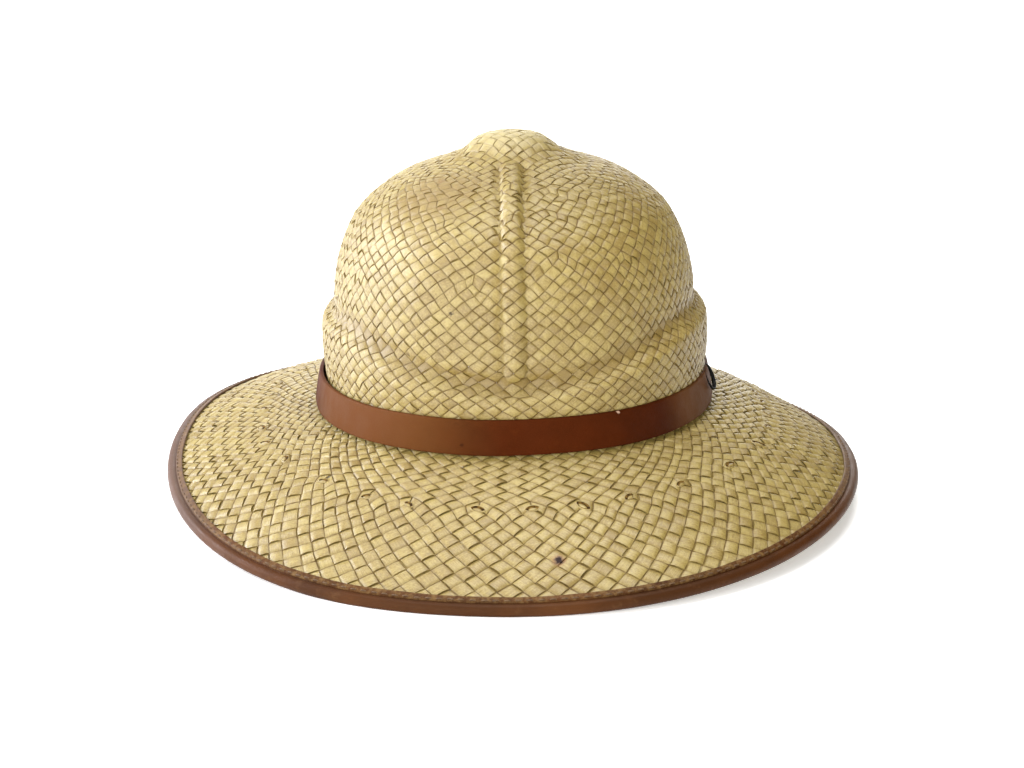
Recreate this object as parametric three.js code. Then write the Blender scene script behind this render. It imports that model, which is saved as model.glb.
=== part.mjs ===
// A sun helmet plaited from flat straw, with a leather hat band and a leather-bound brim.
// Millimetres, +Z up. The front of the hat faces -Y. The origin is on the table, under the hat's middle.
import * as THREE from 'three';

const { degToRad } = THREE.MathUtils;

// Walls and clearances
const WALL = 2.0;
const SEAT_GAP = 0.3;

// The head plane, where crown and brim meet, rises towards the front and slightly towards +X
const HEAD_HEIGHT = 39.2;
const HEAD_SHIFT = 1.3;
const HEAD_TILT = degToRad(1.25);
const HEAD_ROLL = degToRad(1.2);
const OVAL_POWER = 2.15;

// Crown: oval sections from the top down, heights above the head plane
const CROWN_SECTIONS = [
  { halfWidth: 0.0, halfLength: 0.0, height: 104.3 },
  { halfWidth: 11.8, halfLength: 13.1, height: 103.6 },
  { halfWidth: 31.3, halfLength: 35.9, height: 100.3 },
  { halfWidth: 46.0, halfLength: 54.4, height: 95.2 },
  { halfWidth: 57.8, halfLength: 69.9, height: 88.0 },
  { halfWidth: 67.0, halfLength: 81.9, height: 79.5 },
  { halfWidth: 72.9, halfLength: 89.2, height: 68.5 },
  { halfWidth: 76.7, halfLength: 93.9, height: 55.5 },
  { halfWidth: 78.2, halfLength: 96.2, height: 41.5 },
  { halfWidth: 79.0, halfLength: 97.9, height: 27.0 },
  { halfWidth: 78.6, halfLength: 98.3, height: 13.8 },
  { halfWidth: 78.3, halfLength: 98.4, height: 4.0 },
];

// Swag fold: below this line the crown steps outwards
const FOLD_STEP = 3.2;
const FOLD_SIDE_HEIGHT = 38.5;
const FOLD_FRONT_HEIGHT = 21.0;
const FOLD_SPREAD = degToRad(60);
const FOLD_SOFTNESS = 3.8;

// Button moulded in the top of the crown
const BUTTON_RISE = 8.5;
const BUTTON_FLAT = 3.0;
const BUTTON_RADIUS = 34.1;

// Rib down the front and the back, raised between two grooves
const RIB_RISE = 1.1;
const RIB_FLAT = 2.4;
const RIB_HALF = 5.0;
const GROOVE_DEPTH = 0.8;
const GROOVE_HALF = 2.6;
const RIB_START = 25.0;
const RIB_FADE = 9.0;
const RIB_FOOT = 16.0;

// Hat band: a leather strap round the foot of the crown
const BAND_THICK = 1.6;
const BAND_FOOT = -2.0;
const BAND_TOP = 11.9;
const BAND_GAP = 0.3;
const BAND_SIDE_SLACK = 1.6;
const BAND_FLARE = 2.4;
const BAND_EDGE = 0.5;

// Brim: a collar under the crown, a tight bend, then a long slope down to the rim
const COLLAR_FOOT = -1.2;
const BEND_REACH = 1.0;
const BEND_FOOT = -2.7;
const ROOT_REACH = 3.4;
const ROOT_FOOT = -3.5;
const BRIM_BOW_FRONT = 2.6;
const BRIM_BOW_BACK = 4.4;

// Rim: centre line of the rolled edge. It lies on the table in front and behind and lifts at the sides
const RIM_HALF_WIDTH = 147.1;
const RIM_HALF_LENGTH = 176.4;
const RIM_POWER = 2.16;
const RIM_SADDLE = 9.6;
const RIM_TWIST = 3.2;
const RIM_LEAN = 2.6;
const RIM_REST = 1.8;

// Binding: a leather strip folded over the rim and stitched, with a rolled edge
const ROLL_RADIUS = 2.5;
const ROLL_ARC = degToRad(128);
const ROLL_STEPS = 8;
const FLANGE_REACH = 5.2;
const FLANGE_THICK = 0.9;
const SLOT_DEPTH = 1.7;

// Small ring at the right-hand side of the band
const RING_RADIUS = 5.4;
const RING_WIRE = 0.9;
const RING_ANGLE = degToRad(70);
const RING_TURN = degToRad(14);
const RING_LEAN = degToRad(14);
const RING_OUT = 1.8;
const RING_HEIGHT = 9.8;

// Fineness of the faceted surfaces
const BRIM_COLUMNS = 64;
const BAND_COLUMNS = 64;
const BRIM_SLOPE_ROWS = 7;
const CROWN_TOP_ROWS = 12;
const CROWN_FOLD_ROWS = 13;
const CROWN_FOLD_START = 0.6;

const STRAW = 0xd3bd84;
const BAND_LEATHER = 0x74401f;
const BINDING_LEATHER = 0x6b4630;
const BLACK = 0x101010;

function smooth(t) {
  const c = Math.min(1, Math.max(0, t));
  return c * c * (3 - 2 * c);
}

function bell(t) {
  return Math.max(0, 1 - t * t) ** 2;
}

// Angles are measured from the front and turn towards +X
function ovalRadius(angle, halfWidth, halfLength, power) {
  const across = Math.abs(Math.sin(angle) / halfWidth) ** power;
  const along = Math.abs(Math.cos(angle) / halfLength) ** power;
  return (across + along) ** (-1 / power);
}

function polar(angle, radius, height) {
  return new THREE.Vector3(radius * Math.sin(angle), -radius * Math.cos(angle), height);
}

// From the head plane's own frame to the table's
const headFrame = new THREE.Matrix4()
  .makeTranslation(HEAD_SHIFT, 0, HEAD_HEIGHT)
  .multiply(new THREE.Matrix4().makeRotationY(-HEAD_ROLL))
  .multiply(new THREE.Matrix4().makeRotationX(-HEAD_TILT));

// Share of the way down the crown's side, from 0 at the top to 1 at its foot, for each section
const crownShares = [0];
for (let i = 1; i < CROWN_SECTIONS.length; i += 1) {
  const above = CROWN_SECTIONS[i - 1];
  const here = CROWN_SECTIONS[i];
  const step = Math.hypot(here.halfWidth - above.halfWidth, here.height - above.height);
  crownShares.push(crownShares[i - 1] + step);
}
const crownSide = crownShares[crownShares.length - 1];
crownShares.forEach((share, i) => {
  crownShares[i] = share / crownSide;
});

function slopeAt(column, i) {
  const last = CROWN_SECTIONS.length - 1;
  const value = (j) => CROWN_SECTIONS[j][column];
  if (i === 0) return (value(1) - value(0)) / (crownShares[1] - crownShares[0]);
  if (i === last) return (value(i) - value(i - 1)) / (crownShares[i] - crownShares[i - 1]);
  const before = crownShares[i] - crownShares[i - 1];
  const after = crownShares[i + 1] - crownShares[i];
  const back = (value(i) - value(i - 1)) / before;
  const ahead = (value(i + 1) - value(i)) / after;
  return (back * after + ahead * before) / (before + after);
}

// A smooth curve through one column of the sections
function crownColumn(column, share) {
  let i = 0;
  while (i < CROWN_SECTIONS.length - 2 && share > crownShares[i + 1]) i += 1;
  const width = crownShares[i + 1] - crownShares[i];
  const t = (share - crownShares[i]) / width;
  const from = CROWN_SECTIONS[i][column] * (1 + 2 * t) * (1 - t) ** 2;
  const to = CROWN_SECTIONS[i + 1][column] * t * t * (3 - 2 * t);
  const bends = slopeAt(column, i) * t * (1 - t) ** 2 + slopeAt(column, i + 1) * t * t * (t - 1);
  return from + to + bends * width;
}

function foldHeight(angle) {
  const turn = Math.asin(Math.min(1, Math.abs(Math.sin(angle))));
  return FOLD_FRONT_HEIGHT + (FOLD_SIDE_HEIGHT - FOLD_FRONT_HEIGHT) * smooth(turn / FOLD_SPREAD);
}

function ribRise(sideways, radius, height) {
  const off = Math.abs(sideways);
  const crest = RIB_RISE * (1 - smooth((off - RIB_FLAT) / (RIB_HALF - RIB_FLAT)));
  const groove = GROOVE_DEPTH * bell((off - RIB_HALF) / GROOVE_HALF);
  const fade = smooth((radius - RIB_START) / RIB_FADE) * smooth((height - RIB_FOOT) / RIB_FADE);
  return (crest - groove) * fade;
}

function crownPoint(angle, share, rib) {
  const halfWidth = Math.max(crownColumn('halfWidth', share), 1e-6);
  const halfLength = Math.max(crownColumn('halfLength', share), 1e-6);
  let height = crownColumn('height', share);
  let radius = ovalRadius(angle, halfWidth, halfLength, OVAL_POWER);
  radius += FOLD_STEP * smooth((foldHeight(angle) + FOLD_SOFTNESS - height) / (2 * FOLD_SOFTNESS));
  const inButton = 1 - smooth((radius - BUTTON_FLAT) / (BUTTON_RADIUS - BUTTON_FLAT));
  height += BUTTON_RISE * inButton;
  const point = polar(angle, radius, height);
  if (rib) point.addScaledVector(crownNormal(angle, share), ribRise(point.x, radius, height));
  return point;
}

function crownNormal(angle, share) {
  const d = 0.004;
  const low = Math.max(share - d, d);
  const high = Math.min(Math.max(share, d) + d, 1);
  const down = crownPoint(angle, high, false).sub(crownPoint(angle, low, false));
  const round = crownPoint(angle + d, Math.max(share, d), false);
  round.sub(crownPoint(angle - d, Math.max(share, d), false));
  return down.cross(round).normalize();
}

// Outer oval of the crown's foot
function footRadius(angle) {
  return ovalRadius(angle, CROWN_SECTIONS.at(-1).halfWidth, CROWN_SECTIONS.at(-1).halfLength, OVAL_POWER) + FOLD_STEP;
}

// Columns close together across the front and back ribs, wider apart at the sides
function crownAngles() {
  const ribSteps = [0, 1.3, 2.5, 3.7, 5.2, 7.6, 11];
  const sideSteps = 13;
  const quarter = [...ribSteps];
  for (let i = 1; i <= sideSteps; i += 1) quarter.push(11 + (79 * i) / sideSteps);
  const half = [...quarter, ...quarter.slice(0, -1).reverse().map((a) => 180 - a)];
  const full = [...half, ...half.slice(1, -1).reverse().map((a) => 360 - a)];
  return full.map(degToRad);
}

function crownRows() {
  const rows = [];
  for (let i = 1; i <= CROWN_TOP_ROWS; i += 1) rows.push((CROWN_FOLD_START * i) / CROWN_TOP_ROWS);
  const left = 1 - CROWN_FOLD_START;
  for (let i = 1; i <= CROWN_FOLD_ROWS; i += 1) rows.push(CROWN_FOLD_START + (left * i) / CROWN_FOLD_ROWS);
  return rows;
}

// A closed surface through rings of points. Rings that do not close on themselves end in two poles
function skin(rings, poles) {
  const around = rings[0].length;
  const points = rings.flat();
  const faces = [];
  const pairs = poles ? rings.length - 1 : rings.length;
  for (let r = 0; r < pairs; r += 1) {
    const next = ((r + 1) % rings.length) * around;
    for (let c = 0; c < around; c += 1) {
      const a = r * around + c;
      const b = r * around + ((c + 1) % around);
      const d = next + c;
      const e = next + ((c + 1) % around);
      const straight = points[a].distanceToSquared(points[e]) <= points[b].distanceToSquared(points[d]);
      if (straight) faces.push(a, b, e, a, e, d);
      else faces.push(a, b, d, b, e, d);
    }
  }
  if (poles) {
    const first = points.push(poles.first) - 1;
    const last = points.push(poles.last) - 1;
    const end = (rings.length - 1) * around;
    for (let c = 0; c < around; c += 1) {
      const n = (c + 1) % around;
      faces.push(first, n, c, last, end + c, end + n);
    }
  }
  return facesOut(points, faces);
}

// Turns the faces outwards if the loops ran the other way
function facesOut(points, faces) {
  let volume = 0;
  for (let f = 0; f < faces.length; f += 3) {
    const [a, b, c] = [points[faces[f]], points[faces[f + 1]], points[faces[f + 2]]];
    volume += a.dot(b.clone().cross(c));
  }
  const index = volume > 0 ? faces : faces.slice().reverse();
  const geometry = new THREE.BufferGeometry().setFromPoints(points);
  geometry.setIndex(index);
  geometry.computeVertexNormals();
  return geometry;
}

function crownGeometry() {
  const angles = crownAngles();
  const rows = crownRows();
  const outer = rows.map((share) => angles.map((angle) => crownPoint(angle, share, true)));
  const innerRows = rows.filter((share, i) => i % 3 === 0 || share === 1).reverse();
  const inner = innerRows.map((share) => angles.map((angle) => {
    const inward = crownNormal(angle, share);
    if (share === 1) inward.setZ(0).normalize();
    return crownPoint(angle, share, false).addScaledVector(inward, -WALL);
  }));
  const poles = { first: crownPoint(0, 0, false), last: crownPoint(0, 0, false) };
  poles.last.z -= WALL;
  return skin([...outer, ...inner], poles).applyMatrix4(headFrame);
}

// The band lies close to the crown, apart from some slack at the left-hand side
function bandRadius(angle) {
  return footRadius(angle) + BAND_GAP + BAND_SIDE_SLACK * Math.min(0, Math.sin(angle)) ** 2;
}

function bandGeometry() {
  const flare = (height) => (BAND_FLARE * (BAND_TOP - height)) / (BAND_TOP - BAND_FOOT);
  const section = [
    { out: 0, height: BAND_TOP },
    { out: BAND_THICK - BAND_EDGE, height: BAND_TOP },
    { out: BAND_THICK, height: BAND_TOP - BAND_EDGE },
    { out: BAND_THICK, height: BAND_FOOT + BAND_EDGE },
    { out: BAND_THICK - BAND_EDGE, height: BAND_FOOT },
    { out: 0, height: BAND_FOOT },
  ];
  const angles = Array.from({ length: BAND_COLUMNS }, (_, i) => (i * 2 * Math.PI) / BAND_COLUMNS);
  const rings = section.map(({ out, height }) => angles.map((angle) => (
    polar(angle, bandRadius(angle) + out + flare(height), height))));
  return skin(rings, null).applyMatrix4(headFrame);
}

function brimAngles() {
  return Array.from({ length: BRIM_COLUMNS }, (_, i) => (i * 2 * Math.PI) / BRIM_COLUMNS);
}

// Height of the roll's centre: the table holds up the parts of the rim that would sag below it
function rimHeight(angle) {
  const side = Math.sin(angle);
  const warp = RIM_SADDLE * side * side + RIM_TWIST * Math.sin(2 * angle) - RIM_LEAN * side;
  return RIM_REST + Math.max(0, warp);
}

function rimPoint(angle) {
  return polar(angle, ovalRadius(angle, RIM_HALF_WIDTH, RIM_HALF_LENGTH, RIM_POWER), rimHeight(angle));
}

// Middle of the brim's wall, from the root at the head plane (0) to the rim (1)
function brimSlope(angle, share) {
  const root = polar(angle, footRadius(angle) + ROOT_REACH, ROOT_FOOT - WALL / 2).applyMatrix4(headFrame);
  const point = root.lerp(rimPoint(angle), share);
  const bow = BRIM_BOW_FRONT + ((BRIM_BOW_BACK - BRIM_BOW_FRONT) * (1 - Math.cos(angle))) / 2;
  point.z += bow * 4 * share * (1 - share);
  return point;
}

// Directions at the rim: along the brim outwards, and up from it
function rimDirections(angle) {
  const along = rimPoint(angle + 0.01).sub(rimPoint(angle - 0.01)).normalize();
  const out = rimPoint(angle).sub(brimSlope(angle, 0.94));
  out.addScaledVector(along, -out.dot(along)).normalize();
  return { out, up: out.clone().cross(along) };
}

// Middle line of the brim's wall from the collar's top to its cut edge inside the binding
function brimLine(angle) {
  const foot = footRadius(angle) - WALL / 2;
  const bend = [
    { reach: 0, height: CROWN_SECTIONS.at(-1).height - SEAT_GAP },
    { reach: 0, height: COLLAR_FOOT },
    { reach: BEND_REACH, height: BEND_FOOT - WALL / 3 },
  ];
  const line = bend.map(({ reach, height }) => polar(angle, foot + reach, height).applyMatrix4(headFrame));
  for (let i = 0; i < BRIM_SLOPE_ROWS; i += 1) line.push(brimSlope(angle, i / BRIM_SLOPE_ROWS));
  const { out } = rimDirections(angle);
  line.push(rimPoint(angle).addScaledVector(out, -FLANGE_REACH));
  line.push(rimPoint(angle).addScaledVector(out, -SLOT_DEPTH - SEAT_GAP));
  return line;
}

function brimGeometry() {
  const angles = brimAngles();
  const tops = [];
  const undersides = [];
  angles.forEach((angle) => {
    const line = brimLine(angle);
    const round = polar(angle + Math.PI / 2, 1, 0);
    const { up } = rimDirections(angle);
    line.forEach((point, i) => {
      const ahead = line[Math.min(i + 1, line.length - 1)];
      const behind = line[Math.max(i - 1, 0)];
      const normal = round.clone().cross(ahead.clone().sub(behind)).normalize();
      if (i >= line.length - 2) normal.copy(up);
      if (normal.dot(polar(angle, 1, 1)) < 0) normal.negate();
      tops[i] ??= [];
      undersides[i] ??= [];
      tops[i].push(point.clone().addScaledVector(normal, WALL / 2));
      undersides[i].push(point.clone().addScaledVector(normal, -WALL / 2));
    });
  });
  return skin([...tops, ...undersides.reverse()], null);
}

// Section of the binding: out along the brim, up from its middle
function bindingSection() {
  const slot = WALL / 2 + SEAT_GAP;
  const flange = slot + FLANGE_THICK;
  const section = [{ out: -FLANGE_REACH, up: slot }, { out: -FLANGE_REACH, up: flange - 0.3 }];
  section.push({ out: -FLANGE_REACH + 0.6, up: flange });
  for (let i = 0; i <= ROLL_STEPS; i += 1) {
    const turn = ROLL_ARC * (1 - (2 * i) / ROLL_STEPS);
    section.push({ out: ROLL_RADIUS * Math.cos(turn), up: ROLL_RADIUS * Math.sin(turn) });
  }
  section.push({ out: -FLANGE_REACH, up: -flange }, { out: -FLANGE_REACH, up: -slot });
  section.push({ out: -SLOT_DEPTH, up: -slot }, { out: -SLOT_DEPTH, up: slot });
  return section;
}

// The leather is pressed flat where it lies on the table
function bindingGeometry() {
  const angles = brimAngles();
  const rings = bindingSection().map(({ out, up }) => angles.map((angle) => {
    const directions = rimDirections(angle);
    const point = rimPoint(angle).addScaledVector(directions.out, out).addScaledVector(directions.up, up);
    point.z = Math.max(0, point.z);
    return point;
  }));
  return skin(rings, null);
}

function leather(color, roughness) {
  return new THREE.MeshStandardMaterial({ color, roughness, metalness: 0 });
}

function named(name, geometry, material) {
  const mesh = new THREE.Mesh(geometry, material);
  mesh.name = name;
  return mesh;
}

const straw = () => new THREE.MeshStandardMaterial({ color: STRAW, roughness: 0.6, metalness: 0 });

const hat = new THREE.Group();
hat.add(named('crown', crownGeometry(), straw()));
hat.add(named('brim', brimGeometry(), straw()));
hat.add(named('hat_band', bandGeometry(), leather(BAND_LEATHER, 0.42)));
hat.add(named('brim_binding', bindingGeometry(), leather(BINDING_LEATHER, 0.5)));

// The ring stands outside the band at the right, its top leaning towards the crown
const ring = named(
  'side_ring',
  new THREE.TorusGeometry(RING_RADIUS, RING_WIRE, 8, 22),
  new THREE.MeshStandardMaterial({ color: BLACK, roughness: 0.3, metalness: 0.2 }),
);
ring.rotation.set(0, Math.PI / 2 - RING_LEAN, 0);
const ringStand = new THREE.Group();
ringStand.rotation.z = -RING_TURN;
ringStand.position.copy(polar(RING_ANGLE, bandRadius(RING_ANGLE) + BAND_THICK + RING_OUT, RING_HEIGHT));
ringStand.add(ring);
const onHead = new THREE.Group();
onHead.applyMatrix4(headFrame);
onHead.add(ringStand);
hat.add(onHead);

export default hat;
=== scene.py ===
"""A plaited straw sun helmet: woven crown and brim, leather band, bound rim, small side ring."""

import bpy
import numpy as np
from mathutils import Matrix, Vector


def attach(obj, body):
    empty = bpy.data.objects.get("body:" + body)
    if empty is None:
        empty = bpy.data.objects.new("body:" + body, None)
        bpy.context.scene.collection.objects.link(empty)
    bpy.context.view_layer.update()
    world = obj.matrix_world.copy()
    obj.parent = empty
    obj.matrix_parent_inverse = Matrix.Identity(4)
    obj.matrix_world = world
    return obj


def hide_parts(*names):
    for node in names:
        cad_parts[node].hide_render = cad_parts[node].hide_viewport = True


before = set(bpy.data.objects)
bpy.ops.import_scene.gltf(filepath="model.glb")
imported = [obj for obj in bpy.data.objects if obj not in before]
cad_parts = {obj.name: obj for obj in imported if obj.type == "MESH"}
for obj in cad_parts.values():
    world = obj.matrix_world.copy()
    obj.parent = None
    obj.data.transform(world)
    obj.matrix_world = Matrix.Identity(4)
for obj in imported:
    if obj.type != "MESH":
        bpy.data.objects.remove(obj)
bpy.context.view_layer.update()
MM = 0.001

# Shape, in millimetres
WALL = 2.0
HEAD_HEIGHT = 39.2
HEAD_SHIFT = 1.3
HEAD_TILT = np.radians(1.25)
HEAD_ROLL = np.radians(1.2)
OVAL_POWER = 2.15
# half width, half length, height above the head plane
CROWN_SECTIONS = np.array([
    (0.0, 0.0, 104.3), (11.8, 13.1, 103.6), (31.3, 35.9, 100.3), (46.0, 54.4, 95.2),
    (57.8, 69.9, 88.0), (67.0, 81.9, 79.5), (72.9, 89.2, 68.5), (76.7, 93.9, 55.5),
    (78.2, 96.2, 41.5), (79.0, 97.9, 27.0), (78.6, 98.3, 13.8), (78.3, 98.4, 4.0),
])
FOLD_STEP = 3.2
FOLD_SIDE_HEIGHT = 38.5
FOLD_FRONT_HEIGHT = 21.0
FOLD_SPREAD = np.radians(60)
FOLD_SOFTNESS = 3.8
BUTTON_RISE = 8.5
BUTTON_FLAT = 3.0
BUTTON_RADIUS = 34.1
RIB_RISE = 1.1
RIB_FLAT = 2.4
RIB_HALF = 5.0
GROOVE_DEPTH = 0.8
GROOVE_HALF = 2.6
RIB_START = 25.0
RIB_FADE = 9.0
RIB_FOOT = 19.0
RIB_FOOT_FADE = 12.0
RIB_RELIEF = 1.8
# the swag fold in the plait: a hollow above the line, shallower at the sides, and a swell below it
FOLD_HOLLOW = 1.8
FOLD_HOLLOW_SIDE = 0.4
FOLD_HOLLOW_AT = 3.6
FOLD_HOLLOW_HALF = 4.6
FOLD_SWELL = 1.5
FOLD_SWELL_FROM = -0.05
FOLD_SWELL_RAMP = 0.25
FOLD_SWELL_FADE_FROM = 0.5
FOLD_SWELL_FADE = 1.1
# painted shade: how much darker the strips are made in the hollow above the fold
FOLD_PAINTED_SHADE = 0.26
# crease round the foot of the button, and its fuller shoulder
CREASE_DEPTH = 0.9
CREASE_AT = 22.0
CREASE_HALF = 6.0
SHOULDER_RISE = 0.7
SHOULDER_AT = 13.5
SHOULDER_HALF = 7.0
# leather band round the foot of the crown
BAND_THICK = 1.6
BAND_FOOT = -2.0
BAND_TOP = 11.9
BAND_GAP = 0.3
BAND_SIDE_SLACK = 1.6
BAND_FLARE = 2.4
BAND_COLUMNS = 240
# distance out from the crown, height, corner rounding
BAND_OUTLINE = (
    (0.0, BAND_FOOT, 0.2), (1.5, BAND_FOOT, 0.8), (1.7, 1.45, 3.0),
    (1.72, 7.95, 3.0), (1.5, BAND_TOP, 0.8), (0.0, BAND_TOP, 0.2),
)
# wave numbers round the hat and the size of the waver
BAND_REACH_WAVES = (5, 9, 14, 23)
BAND_REACH_WAVER = 0.18
BAND_DRIFT_WAVES = (3, 7, 11)
BAND_DRIFT_WAVER = 0.25
# brim, from its root at the crown to the rim
ROOT_REACH = 3.4
ROOT_FOOT = -3.5
BRIM_BOW_FRONT = 2.6
BRIM_BOW_BACK = 4.4
RIM_HALF_WIDTH = 147.1
RIM_HALF_LENGTH = 176.4
RIM_POWER = 2.16
RIM_SADDLE = 9.6
RIM_TWIST = 3.2
RIM_LEAN = 2.6
RIM_REST = 1.8
RIM_STEP = 0.01
RIM_INSIDE = 0.94
# leather binding folded over the rim: roll, flange and slot
ROLL_RADIUS = 2.5
ROLL_ARC = np.radians(128)
ROLL_STEPS = 21
FLANGE_REACH = 5.2
FLANGE_THICK = 0.95
FLANGE_INNER = 2.3
# distance in from the rim line, height above the slot, corner rounding
FLANGE_OUTLINE = (
    (FLANGE_REACH, 0.0, 0.2), (FLANGE_REACH, FLANGE_THICK, 0.7), (3.6, 1.07, 2.0),
    (2.6, FLANGE_THICK, 0.3), (2.1, 0.25, 0.15),
)
SLOT_DEPTH = 1.7
SLOT_PLAY = 0.02
SLOT_ROUND = 0.1
BINDING_COLUMNS = 320
BINDING_SWELL_WAVES = (6, 11, 17, 29)
BINDING_SWELL = 0.1
BINDING_EDGE_WAVES = (4, 9, 15, 31)
BINDING_EDGE_WAVER = 0.25
BINDING_EDGE_FROM = 2.0
BINDING_EDGE_RAMP = 3.0
# ring at the band's right-hand end
RING_RADIUS = 5.4
RING_WIRE = 0.9
RING_ANGLE = np.radians(70)
RING_TURN = np.radians(14)
RING_LEAN = np.radians(20)
RING_OUT = 1.8
RING_HEIGHT = 9.8
RING_THICK_AT = np.radians(40)
RING_WIRE_MEAN = 0.54
RING_WIRE_SWING = 0.48
RING_STEPS = 64
RING_SIDES = 20

# Plait
SEED = 5
NUDGE = 1e-3
NORMAL_STEP = 0.004
CORNER_RINGS = 12
CORNER_STEP = 0.82
RING_HALF_MOST = 0.95
BEND_SHARE = 0.11
WEAVE_END = 0.977
# the last row is squeezed, so that its notches lie under the binding
LAST_ROW_SHARE = 0.74
RELAX_STEPS = 420
RELAX_PULL = 0.5
RELAX_MOVE = 1.5
# how far through the steps, and how much the crossings even out there
STIFF_AT = (0.0, 0.5, 0.8)
STIFF = (0.5, 0.25, 0.12)
NEIGHBOURS_MOST = 8
CARRY_SHARE = 0.9
STRETCH_FROM = 40.0
STRETCH_OVER = 100.0
# strip width wanted at each distance down the hat
STRIP_AT = (0.0, 48.0, 70.0, 150.0, 172.0, 238.0)
STRIP_WIDE = (4.6, 4.6, 4.15, 4.15, 4.4, 5.4)
# laid-in strips: distance down, how many, rings they are spread over
INSERTS = ((58.0, 14, 5), (76.0, 13, 5), (97.0, 12, 7), (199.0, 32, 1))
INSERT_SCATTER = 0.25
TOP_REACH = 0.42
STRIP_LIFT = 0.54
CROWN_LIFT_SHARE = 0.64
STRIP_HALF_THICK = 0.2
STRIP_CROWNING = 0.14
STRIP_LEAN = 0.12
STRIP_OVER_FILL = 0.87
STRIP_UNDER_FILL = 1.0
STRIP_END_FILL = 0.94
STRIP_STATIONS = (0.09, 0.3, 0.7, 0.91)
STRIP_VARIETY = 0.12
# spread of the fill from strip to strip and from cell to cell, and its range
FILL_BY_STRIP = 0.035
FILL_BY_CELL = 0.03
FILL_LEAST = 0.78
FILL_MOST = 0.99
STRIP_SHIFT = 0.022
LIFT_VARIETY = 0.12
# disc distances between which the strips change from the crown's lift to the brim's
LIFT_CHANGE = (0.95, 1.15)
TONE_MIDDLE = 0.5
TONE_BY_STRIP = 0.06
TONE_BY_CELL = 0.04
GOLDEN_SHARE = 0.6180339
BAKE_MARGIN = 0.05
CROSSING_WOBBLE = 0.0016
# flat loops where a strip is folded to start a new pair, at the outermost laid-in ring
SLIT_FROM = 185.0
SLIT_HALF_LONG = 3.5
SLIT_HALF_WIDE = 1.9
SLIT_COLUMNS = 16
SLIT_TURN = 0.5
SLIT_LEAST = 0.75
SLIT_MOST = 1.1
SLIT_TAPER = 1.5
SLIT_HALF_LEAST = 0.3
SLIT_ROUND = 0.5
SLIT_TONE = 0.45
SLIT_MAP_FROM = 0.3
SLIT_MAP_SPAN = 0.4
# inset from the outline and height above the plait: lip, groove, tongue
SLIT_ROWS = ((0.0, -0.3), (0.1, 0.14), (0.35, 0.14), (0.4, 0.02), (1.05, 0.02), (1.1, 0.1), (2.0, 0.12))
# painted shade: these rows inside the lip take a dark material that stands for the shadow under the loop
SLIT_SHADED_ROWS = (2, 3, 4)
SLIT_TONGUE_ROW = 4
SLIT_TONGUE_SHIFT = 0.55

# Stitches along the binding
STITCH_LINE = -3.1
STITCH_SCATTER = 0.12
STITCH_WANDER = 0.06
STITCH_PITCH = 4.2
STITCH_LONG = 3.0
STITCH_THICK = 0.32
STITCH_STAND = 0.24
STITCH_DIVE = 0.5
STITCH_TAPER = 1.02
STITCH_END = 0.2
STITCH_WIDEN = 1.1
STITCH_LOWEST = 0.1
STITCH_SIDES = 6
STITCH_STEPS = 5


# Shape functions

def smooth(t):
    t = np.clip(t, 0, 1)
    return t * t * (3 - 2 * t)


def bell(t):
    return np.maximum(0, 1 - t * t) ** 2


def unit(v):
    return v / np.maximum(np.linalg.norm(v, axis=-1, keepdims=True), 1e-9)


def oval(angle, half_width, half_length, power):
    across = np.abs(np.sin(angle) / half_width) ** power
    along = np.abs(np.cos(angle) / half_length) ** power
    return (across + along) ** (-1 / power)


def polar(angle, radius, height):
    parts = np.broadcast_arrays(radius * np.sin(angle), -radius * np.cos(angle), height)
    return np.stack(parts, -1)


def to_table(p):
    c, s = np.cos(HEAD_TILT), np.sin(HEAD_TILT)
    y = p[..., 1] * c + p[..., 2] * s
    z = p[..., 2] * c - p[..., 1] * s
    c, s = np.cos(HEAD_ROLL), np.sin(HEAD_ROLL)
    return np.stack([HEAD_SHIFT + p[..., 0] * c - z * s, y, HEAD_HEIGHT + p[..., 0] * s + z * c], -1)


def section_shares():
    steps = np.hypot(np.diff(CROWN_SECTIONS[:, 0]), np.diff(CROWN_SECTIONS[:, 2]))
    run = np.concatenate([[0], np.cumsum(steps)])
    return run / run[-1]


SHARES = section_shares()


def crown_column(values, share):
    slopes = np.gradient(values, SHARES)
    i = np.clip(np.searchsorted(SHARES, share) - 1, 0, len(values) - 2)
    width = SHARES[i + 1] - SHARES[i]
    t = (share - SHARES[i]) / width
    level = values[i] * (1 + 2 * t) * (1 - t) ** 2 + values[i + 1] * t * t * (3 - 2 * t)
    return level + width * (slopes[i] * t * (1 - t) ** 2 + slopes[i + 1] * t * t * (t - 1))


def fold_height(angle):
    turn = np.arcsin(np.minimum(1, np.abs(np.sin(angle))))
    side = smooth(turn / FOLD_SPREAD)
    return FOLD_FRONT_HEIGHT + (FOLD_SIDE_HEIGHT - FOLD_FRONT_HEIGHT) * side, side


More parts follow.
